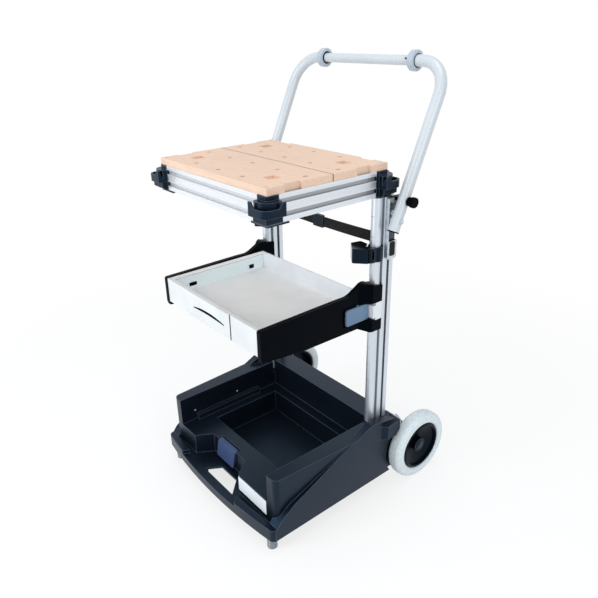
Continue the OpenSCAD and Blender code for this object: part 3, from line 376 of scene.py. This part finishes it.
def post_depth(p):
    """Distance inside the rear profile's four sides, so that its slots and neck lie deep and take painted
    shade.
    """
    low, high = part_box("post_right")
    across = p.math("ABSOLUTE", p.axis("x"))
    sides = p.math("MINIMUM", p.math("SUBTRACT", high[0], across), p.math("SUBTRACT", across, low[0]))
    behind = p.math("SUBTRACT", high[1], p.axis("y"))
    ahead = p.math("SUBTRACT", p.axis("y"), high[1] - PROFILE_DEPTH - NECK_DEPTH)
    return p.math("MINIMUM", sides, p.math("MINIMUM", behind, ahead))


def bracket_depth(p):
    """Distance inside the hinge brackets' outer and front faces."""
    low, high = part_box("hinge_bracket_right")
    return p.math("MINIMUM", p.inside("x", high[0]), p.math("SUBTRACT", p.axis("y"), low[1]))


def galvanised(name, colour, depth=None):
    """Zinc-coated steel with its crystals, and painted shade in its channel where a depth is given."""
    p = Paint(name, colour, 0.38, metallic=0.8)
    cells = p.node("ShaderNodeTexVoronoi", Scale=120.0)
    p.link(p.place, cells.inputs["Vector"])
    p.tint(cells.outputs["Color"], 0.86, 1.1, (0.1, 0.9))
    # Painted shade: the colour darkens with depth into the channel
    if depth:
        p.shade(p.step(depth(p), *CHANNEL_SHADE_FADE), CHANNEL_SHADE)
    p.rough(p.noise(80, 3), 0.3, 0.48)
    p.bump(p.noise(400, 2), 0.00003)
    return p.material


def drawer_steel(name, colour, rim):
    """Smooth painted sheet with a folded white rim above a fine seam."""
    p = Paint(name, colour, 0.4)
    above = p.math("SUBTRACT", p.axis("z"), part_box("drawer_sides")[1][2] - RIM_BAND)
    p.ramp_colour(p.step(above, -RIM_SEAM, RIM_SEAM), [
        (0.0, colour), (0.2, colour), (0.3, SEAM_GREY), (0.7, SEAM_GREY), (0.8, rim),
    ])
    p.rough(p.noise(60, 2), 0.36, 0.46)
    p.bump(p.noise(300, 1), 0.00003)
    return p.material


def lacquer(name, colour):
    """Smooth stove paint with a faint orange peel."""
    p = Paint(name, colour, 0.32)
    p.tint(p.noise(7, 2), 0.97, 1.03)
    p.rough(p.noise(25, 3), 0.27, 0.4)
    p.bump(p.noise(380, 1), 0.00004)
    p.shader.inputs["Coat Weight"].default_value = 0.25
    return p.material


def birch(name, colour):
    """Pale boards: long grain along X, darker drifts and painted shade along the seam between the boards.
    """
    p = Paint(name, colour, 0.5)
    grain = p.noise(1, 6, (14, 190, 190), 0.62)
    p.ramp_colour(grain, [
        (0.3, [c * f for c, f in zip(colour, (0.93, 0.87, 0.82))]), (0.5, colour),
        (0.72, [min(1, c * 1.05) for c in colour]),
    ])
    p.shade(p.step(p.noise(5, 2), 0.45, 0.75), 0.93)
    # Painted shade: a dark band along the seam between the boards
    seam = (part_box("board_front_half")[1][1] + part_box("board_rear_half")[0][1]) / 2
    away = p.math("ABSOLUTE", p.math("SUBTRACT", p.axis("y"), seam))
    p.shade(p.step(away, *SEAM_SHADE_FADE), SEAM_SHADE)
    p.rough(grain, 0.44, 0.58)
    p.bump(grain, 0.00005)
    return p.material


def tyre(name, colour):
    p = Paint(name, colour, 0.72)
    p.tint(p.noise(220, 3, roughness=0.7), 0.84, 1.08)
    p.rough(p.noise(90, 2), 0.62, 0.8)
    p.bump(p.noise(700, 2), 0.00015)
    return p.material


def webbing(name, colour):
    p = Paint(name, colour, 0.85)
    wave = p.node("ShaderNodeTexWave", Scale=520.0, Distortion=0.4)
    p.link(p.place, wave.inputs["Vector"])
    p.tint(wave.outputs["Fac"], 0.6, 1.8, (0.2, 0.9))
    p.bump(wave.outputs["Fac"], 0.0004)
    return p.material


materials = {
    "base": textured_plastic("base_plastic", SLATE, 0.33, specular=0.4, sheen=COOL, edge_highlight=EDGE_HIGHLIGHT),
    "corner": textured_plastic("corner_plastic", SLATE, 0.36, 0.00008, 0.35, COOL, EDGE_HIGHLIGHT),
    "black": textured_plastic("black_plastic", BLACK, 0.42, 0.00008, 0.04, COOL),
    # The edge finishes are lighter than their plastics: a painted highlight on the softened edges
    "base_edge": textured_plastic("base_edges", (0.095, 0.125, 0.165), 0.28, 0.00004, 0.9, COOL),
    "latch_edge": textured_plastic("latch_edges", (0.09, 0.14, 0.27), 0.32, 0.00004, 0.5),
    "black_edge": textured_plastic("black_edges", (0.008, 0.010, 0.013), 0.3, 0.00004, 0.3, COOL),
    "lever": textured_plastic("lever_plastic", (0.13, 0.21, 0.32), 0.45, 0.00006, 0.3),
    "latch": textured_plastic("latch_plastic", (0.036, 0.061, 0.146), 0.4, 0.00006, 0.3),
    "rubber": textured_plastic("rubber", (0.012, 0.012, 0.012), 0.75, specular=0.2),
    "gloss": smooth_plastic("gloss_black", (0.002, 0.003, 0.004), 0.16, specular=0.3, sheen=COOL),
    "gloss_edge": smooth_plastic("gloss_edges", (0.05, 0.06, 0.07), 0.14, coat=0.5, specular=0.8),
    "rim": smooth_plastic("rim_plastic", (0.003, 0.004, 0.006), 0.34, specular=0.14, sheen=COOL),
    "cap": smooth_plastic("cap_plastic", (0.012, 0.018, 0.027), 0.3, specular=0.3, sheen=COOL),
    "white": smooth_plastic("white_plastic", (0.80, 0.83, 0.86), 0.36, coat=0.1),
    "foot": smooth_plastic("foot_plastic", (0.185, 0.22, 0.245), 0.2, coat=0.3),
    "panel": smooth_plastic("drawer_panel", (0.95, 0.99, 1.0), 0.5),
    "front": smooth_plastic("drawer_front_plastic", (0.70, 0.71, 0.71), 0.36, coat=0.1),
    # Painted shade for recesses, seams and joints
    "recess": smooth_plastic("shaded_recess", (0.012, 0.016, 0.022), 0.6, specular=0.1),
    "ink": smooth_plastic("scale_ink", (0.2, 0.22, 0.25), 0.5),
    "post": drawn_metal("anodised_upright", ALUMINIUM, 0.34, "z", post_depth),
    # Painted light: the front and side rails are lighter copies of the anodised finish, with lighter
    # painted shade in their grooves, for the light on their faces
    "rail_front": drawn_metal(
        "anodised_front", (0.77, 0.79, 0.81), 0.36, "x", rail_depth("rail_front", "y", 0), 0.85, 0.5
    ),
    "rail_rear": drawn_metal("anodised_rear", ALUMINIUM, 0.32, "x", rail_depth("rail_rear", "y", 1)),
    "rail_side": drawn_metal(
        "anodised_side", (0.74, 0.78, 0.83), 0.32, "y", rail_depth("rail_right", "x", 1), 0.5, 0.7
    ),
    "handle": lacquer("handle_paint", (0.58, 0.625, 0.66)),
    "collar": lacquer("collar_paint", (0.43, 0.50, 0.57)),
    "zinc": galvanised("galvanised_steel", (0.6, 0.64, 0.68)),
    "bracket": galvanised("bracket_steel", (0.6, 0.66, 0.70), bracket_depth),
    "drawer_steel": drawer_steel("drawer_steel", (0.84, 0.95, 0.98), (0.98, 0.99, 1.0)),
    "birch": birch("birch", (0.795, 0.57, 0.43)),
    "tyre": tyre("tyre_rubber", (0.72, 0.80, 0.83)),
    "webbing": webbing("webbing", (0.005, 0.005, 0.007)),
}

# Each node's finish and the radius of its softened edges in millimetres; 0 keeps the solid as it is
FINISH = {
    "base_tub": ("base", 2.2), "front_plate": ("white", 0.3), "case_latch": ("latch", 1.2),
    "latch_pin": ("zinc", 0), "feet": ("foot", 0), "axle": ("zinc", 0), "axle_brackets": ("zinc", 0.5),
    "tyre_left": ("tyre", 0), "tyre_right": ("tyre", 0), "rim_left": ("rim", 0), "rim_right": ("rim", 0),
    "hub_cap_left": ("cap", 0), "hub_cap_right": ("cap", 0),
    "post_left": ("post", 0.5), "post_right": ("post", 0.5), "post_screws": ("zinc", 0),
    "rail_front": ("rail_front", 0.7), "rail_rear": ("rail_rear", 0.7),
    "rail_left": ("rail_side", 0.7), "rail_right": ("rail_side", 0.7),
    "corner_front_left": ("corner", 1.4), "corner_front_right": ("corner", 1.4),
    "corner_rear_left": ("corner", 1.4), "corner_rear_right": ("corner", 1.4),
    "board_front_half": ("birch", 1.2), "board_rear_half": ("birch", 1.2), "board_screws": ("zinc", 0),
    "hinge_bracket_left": ("bracket", 0.4), "hinge_bracket_right": ("bracket", 0.4),
    "bracket_bolts": ("zinc", 0.6), "bracket_pads": ("rubber", 0), "pivot_bolts": ("zinc", 0.8),
    "handle_left": ("handle", 0), "handle_right": ("handle", 0), "handle_grip": ("handle", 0),
    "handle_collars": ("collar", 0), "handle_plugs": ("black", 0),
    "knob_left": ("black", 0), "knob_right": ("black", 0),
    "strap_buckle": ("gloss", 0.5),
    "strap_clamp_left": ("gloss", 1.2), "strap_clamp_right": ("gloss", 1.2),
    "clamp_lever_left": ("gloss", 1.5), "clamp_lever_right": ("gloss", 1.5),
    "cheek_left": ("black", 1.8), "cheek_right": ("black", 1.8), "carrier_rail": ("zinc", 0.3),
    "column_clamp_left": ("white", 1.0), "column_clamp_right": ("white", 1.0),
    "release_lever_left": ("lever", 1.2), "release_lever_right": ("lever", 1.2), "lever_pins": ("zinc", 0),
    "drawer_front": ("white", 1.5), "drawer_floor": ("panel", 0), "drawer_back_panel": ("white", 0.8),
    "drawer_sides": ("drawer_steel", 0.4), "drawer_clips": ("black", 0.6), "drawer_runners": ("zinc", 0.4),
}

# Finish of the softened edges: a lighter colour painted on them as a highlight
EDGE_HIGHLIGHTS = {
    "base": "base_edge", "corner": "base_edge", "black": "black_edge", "gloss": "gloss_edge",
    "latch": "latch_edge",
}

# Points closer than this are one; faces that bend less are one flat face; edges that bend more are rounded
WELD_GAP = 0.00001
FLAT_BEND = math.radians(0.5)
SHARP_BEND = math.radians(34)
BEVEL_STEPS = 3
# How strongly large faces draw the softened normals, from 1 to 100
FACE_WEIGHT = 80
# Edge radius in millimetres of the finer pieces modelled below
FINE_EDGE = 0.4


def soften(piece, radius):
    """Rounds a piece's edges with modifiers; its own mesh only changes to smooth shading."""
    weld = piece.modifiers.new("weld", "WELD")
    weld.merge_threshold = WELD_GAP
    flat = piece.modifiers.new("flat", "DECIMATE")
    flat.decimate_type = "DISSOLVE"
    flat.angle_limit = FLAT_BEND
    bevel = piece.modifiers.new("edges", "BEVEL")
    bevel.width = radius / 1000
    bevel.segments = BEVEL_STEPS
    bevel.limit_method = "ANGLE"
    bevel.angle_limit = SHARP_BEND
    normals = piece.modifiers.new("normals", "WEIGHTED_NORMAL")
    normals.weight = FACE_WEIGHT
    for face in piece.data.polygons:
        face.use_smooth = True


def dress_nodes():
    for node, (finish, radius) in FINISH.items():
        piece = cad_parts[node]
        mesh = piece.data
        mesh.materials.clear()
        mesh.materials.append(materials[finish])
        if radius:
            soften(piece, radius)
            # Painted highlight: the softened edges take the lighter edge finish
            if finish in EDGE_HIGHLIGHTS:
                mesh.materials.append(materials[EDGE_HIGHLIGHTS[finish]])
                piece.modifiers["edges"].material = 1


# Helpers for the pieces that are modelled here

def new_piece(name, mesh, body, finish):
    piece = bpy.data.objects.new(name, mesh)
    bpy.context.scene.collection.objects.link(piece)
    mesh.materials.append(materials[finish])
    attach(piece, body)
    return piece


def ring(shape, points):
    return [shape.verts.new(point) for point in points]


def join_rows(shape, first, second, closed=True):
    """Lays faces between two rows of points, round to the start again where they are closed."""
    n = len(first)
    faces = []
    for k in range(n if closed else n - 1):
        after = (k + 1) % n
        faces.append(shape.faces.new((first[k], first[after], second[after], second[k])))
    return faces


def sheet_mesh(name, shape, smooth=False):
    """Turns a bmesh into a mesh and frees it."""
    mesh = bpy.data.meshes.new(name)
    shape.to_mesh(mesh)
    shape.free()
    for face in mesh.polygons:
        face.use_smooth = smooth
    return mesh


def solid_mesh(name, shape, smooth=False):
    """Like sheet_mesh, with the faces of a closed form turned outwards first."""
    bmesh.ops.recalc_face_normals(shape, faces=shape.faces)
    return sheet_mesh(name, shape, smooth)


# Webbing strap, pulled taut between its two clamps

STRAP_WIDTH = 0.028
STRAP_STEPS = 96
# Radius of the woven edges as a share of the strap's thickness, before they are pressed to it
EDGE_SHARE = 0.62
EDGE_STEPS = 6


def strap_outline(width, thickness):
    """Points round the strap's section: two flat faces and two round woven edges."""
    edge = thickness * EDGE_SHARE
    points = []
    for side in (1, -1):
        for i in range(EDGE_STEPS + 1):
            turn = math.pi * i / EDGE_STEPS
            points.append((side * edge * math.cos(turn), side * (width / 2 - edge + edge * math.sin(turn))))
    return [(y * thickness / (2 * edge), z) for y, z in points]


def make_strap():
    low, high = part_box("strap")
    middle_z = high[2] - STRAP_WIDTH / 2
    sag = high[2] - low[2] - STRAP_WIDTH
    outline = strap_outline(STRAP_WIDTH, high[1] - low[1])
    shape = bmesh.new()
    rings = []
    for i in range(STRAP_STEPS + 1):
        t = 2 * i / STRAP_STEPS - 1
        centre = Vector((t * high[0], (low[1] + high[1]) / 2, middle_z - sag * (1 - t * t)))
        rings.append(ring(shape, [centre + Vector((0, y, z)) for y, z in outline]))
    for first, second in zip(rings, rings[1:]):
        join_rows(shape, first, second)
    shape.faces.new(rings[0])
    shape.faces.new(rings[-1][::-1])
    mesh = solid_mesh("strap_web", shape, smooth=True)
    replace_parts(new_piece("strap_web", mesh, "frame", "webbing"), "strap")


# Scale marks printed on the posts' round columns

POST_X = 0.2205
COLUMN_RADIUS = 0.013
MARK_PITCH = 0.05
MARK_WIDTH = 0.0009
MARK_TURN = (math.radians(205), math.radians(292))
MARK_STEPS = 14
MARK_PROUD = 0.00015


def mark_arc(centre, z):
    radius = COLUMN_RADIUS + MARK_PROUD
    start, end = MARK_TURN
    turns = [start + (end - start) * i / MARK_STEPS for i in range(MARK_STEPS + 1)]
    return [centre + Vector((radius * math.cos(turn), radius * math.sin(turn), z)) for turn in turns]


def make_marks():
    for side, name in ((-1, "left"), (1, "right")):
        low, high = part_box("post_" + name)
        centre = Vector((side * POST_X, low[1] + COLUMN_RADIUS, 0))
        shape = bmesh.new()
        height = math.ceil(low[2] / MARK_PITCH) * MARK_PITCH
        while height < high[2]:
            lower = ring(shape, mark_arc(centre, height))
            upper = ring(shape, mark_arc(centre, height + MARK_WIDTH))
            join_rows(shape, lower, upper, closed=False)
            height += MARK_PITCH
        mesh = sheet_mesh("marks_" + name, shape)
        new_piece("marks_" + name, mesh, "frame", "ink")


# Drawer front with its raised middle panel, the seams beside it and the arched finger grip

PANEL_HALF = 0.095
PANEL_PROUD = 0.002
SEAM = 0.001
# Grip slot: half its length, height above the lower edge, gap at its tips, rise of both edges and depth
GRIP_HALF = 0.070
GRIP_Z = 0.0290
GRIP_TIP = 0.0024
GRIP_RISE = (0.0025, 0.0075)
GRIP_DEPTH = 0.007
GRIP_STEPS = 28
# Material slot of the faces painted dark as shade, and how many of them each seam has
PAINTED_SHADE_SLOT = 1
SHADED_SEAM_FACES = 3


def grip_outline(bottom):
    """The arched slot's outline as (x, z): its upper edge to the right, then its lower edge back."""
    upper, lower = [], []
    for i in range(GRIP_STEPS + 1):
        t = 2 * i / GRIP_STEPS - 1
        arch = 1 - t * t
        upper.append((t * GRIP_HALF, bottom + GRIP_Z + GRIP_TIP + GRIP_RISE[1] * arch))
        lower.append((t * GRIP_HALF, bottom + GRIP_Z + GRIP_RISE[0] * arch))
    return upper + lower[::-1]


def front_plan(low, high):
    """The drawer front from above as (x, y), from the panel's right edge round the back to its left one."""
    wing_y = low[1] + PANEL_PROUD
    seam_y = wing_y + SEAM
    right = [
        (PANEL_HALF, low[1]), (PANEL_HALF, seam_y), (PANEL_HALF + SEAM, seam_y),
        (PANEL_HALF + SEAM, wing_y), (high[0], wing_y), (high[0], high[1]),
    ]
    return right + [(-x, y) for x, y in reversed(right)]


def make_drawer_front():
    low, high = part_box("drawer_front")
    face_y = low[1]
    plan = front_plan(low, high)
    shape = bmesh.new()
    bottom = ring(shape, [(x, y, low[2]) for x, y in plan])
    top = ring(shape, [(x, y, high[2]) for x, y in plan])
    shape.faces.new(bottom)
    shape.faces.new(top)
    sides = join_rows(shape, bottom, top, closed=False)
    outline = grip_outline(low[2])
    mouth = ring(shape, [(x, face_y, z) for x, z in outline])
    inner = ring(shape, [(x, face_y + GRIP_DEPTH, z) for x, z in outline])
    walls = join_rows(shape, mouth, inner)
    walls.append(shape.faces.new(inner))
    # Painted shade: the seams' sides and the grip's walls take the dark recess colour
    for face in sides[:SHADED_SEAM_FACES] + sides[-SHADED_SEAM_FACES:] + walls:
        face.material_index = PAINTED_SHADE_SLOT
    rim = [bottom[0], top[0], top[-1], bottom[-1]]
    edges = [shape.edges.get(pair) or shape.edges.new(pair) for pair in zip(rim, rim[1:] + rim[:1])]
    edges += [shape.edges.get(pair) for pair in zip(mouth, mouth[1:] + mouth[:1])]
    bmesh.ops.triangle_fill(shape, use_beauty=True, use_dissolve=False, edges=edges)
    mesh = solid_mesh("drawer_face", shape)
    piece = new_piece("drawer_face", mesh, "drawer", "front")
    mesh.materials.append(materials["recess"])
    soften(piece, FINE_EDGE)
    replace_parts(piece, "drawer_front")


# Black clips that hold the drawer's sides: place along Y, length, lowest and highest point

CLIPS = ((-0.1995, 0.023, 0.0270, 0.0370), (-0.001, 0.016, 0.0250, 0.0370))
CLIP_PROUD = 0.0015
CLIP_CORNER = 0.0018
CORNER_STEPS = 4


def rounded_outline(y0, y1, z0, z1):
    """A rectangle with round corners, from its upper right corner round to its lower right one."""
    left, right = y0 + CLIP_CORNER, y1 - CLIP_CORNER
    lower, upper = z0 + CLIP_CORNER, z1 - CLIP_CORNER
    points = []
    for quarter, (y, z) in enumerate(((right, upper), (left, upper), (left, lower), (right, lower))):
        for i in range(CORNER_STEPS + 1):
            turn = math.pi / 2 * (quarter + i / CORNER_STEPS)
            points.append((y + CLIP_CORNER * math.cos(turn), z + CLIP_CORNER * math.sin(turn)))
    return points


def make_clips():
    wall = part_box("drawer_clips")[1][0]
    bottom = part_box("drawer_front")[0][2]
    shape = bmesh.new()
    for side in (-1, 1):
        for y, length, z0, z1 in CLIPS:
            outline = rounded_outline(y - length / 2, y + length / 2, bottom + z0, bottom + z1)
            back = ring(shape, [(side * wall, a, b) for a, b in outline])
            front = ring(shape, [(side * (wall - CLIP_PROUD), a, b) for a, b in outline])
            shape.faces.new(back)
            shape.faces.new(front)
            join_rows(shape, back, front)
    piece = new_piece("side_clips", solid_mesh("side_clips", shape), "drawer", "black")
    soften(piece, FINE_EDGE)
    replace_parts(piece, "drawer_clips")


# Turned details: joints round the push handle's collars, the grip's lock button, pins for the cases

TURN_STEPS = 40


def lathe(shape, profile, place):
    """Turns a profile of (radius, height) points about Z and closes both its ends."""
    rows = []
    for i in range(TURN_STEPS):
        turn = 2 * math.pi * i / TURN_STEPS
        rows.append(ring(shape, [
            place @ Vector((r * math.cos(turn), r * math.sin(turn), h)) for r, h in profile
        ]))
    for a, b in zip(rows, rows[1:] + rows[:1]):
        for k in range(len(profile) - 1):
            shape.faces.new((a[k], b[k], b[k + 1], a[k + 1]))
    shape.faces.new([row[0] for row in rows])
    shape.faces.new([row[-1] for row in rows])


def turned_to(direction, at):
    """A placement whose Z axis points in the direction."""
    return Matrix.Translation(at) @ Vector(direction).to_track_quat("Z", "Y").to_matrix().to_4x4()


# Distances from the middle plane to both faces of a collar
COLLAR_FACES = (0.151, 0.169)
TUBE_RADIUS = 0.014
JOINT_WIDTH = 0.0019
JOINT_PROUD = 0.0003
JOINT = (
    (TUBE_RADIUS, JOINT_PROUD), (TUBE_RADIUS + JOINT_WIDTH, JOINT_PROUD),
    (TUBE_RADIUS + JOINT_WIDTH + JOINT_PROUD, 0),
)


def make_collar_joints():
    low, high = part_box("handle_collars")
    centre = [(a + b) / 2 for a, b in zip(low, high)]
    shape = bmesh.new()
    for side in (-1, 1):
        for face, facing in zip(COLLAR_FACES, (-1, 1)):
            lathe(shape, JOINT, turned_to((side * facing, 0, 0), (side * face, centre[1], centre[2])))
    mesh = solid_mesh("collar_joints", shape, smooth=True)
    # Painted shade: the joint rings take the dark recess colour where the tubes enter the collars
    new_piece("collar_joints", mesh, "handle", "recess")


BUTTON_X = 0.141
BUTTON_RISE = math.radians(22)
BUTTON = ((0.0004, 0.0012), (0.0016, 0.0010), (0.0023, 0.0004), (0.0025, -0.0006))


def make_button():
    low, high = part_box("handle_grip")
    lean = Vector((0, -math.cos(BUTTON_RISE), math.sin(BUTTON_RISE)))
    centre = Vector((BUTTON_X, (low[1] + high[1]) / 2, (low[2] + high[2]) / 2))
    shape = bmesh.new()
    lathe(shape, BUTTON, turned_to(lean, centre + lean * TUBE_RADIUS))
    mesh = solid_mesh("grip_button", shape, smooth=True)
    new_piece("grip_button", mesh, "handle", "black")


# Places of the pins on either side wall as (y, z), and that wall's distance from the middle plane
PINS = ((-0.227, 0.158), (-0.073, 0.160))
PIN_X = 0.212
PIN = ((0.0008, 0.0018), (0.0022, 0.0015), (0.0030, 0.0006), (0.0032, -0.0008))


def make_pins():
    shape = bmesh.new()
    for side in (-1, 1):
        for y, z in PINS:
            lathe(shape, PIN, turned_to((-side, 0, 0), (side * PIN_X, y, z)))
    mesh = solid_mesh("case_pins", shape, smooth=True)
    new_piece("case_pins", mesh, "frame", "zinc")


make_camera()
make_world()
make_floor()
for lamp in LAMPS:
    area_light(*lamp)
dress_nodes()
make_strap()
make_marks()
make_drawer_front()
make_clips()
make_collar_joints()
make_button()
make_pins()
bpy.context.scene.view_settings.view_transform = "Standard"
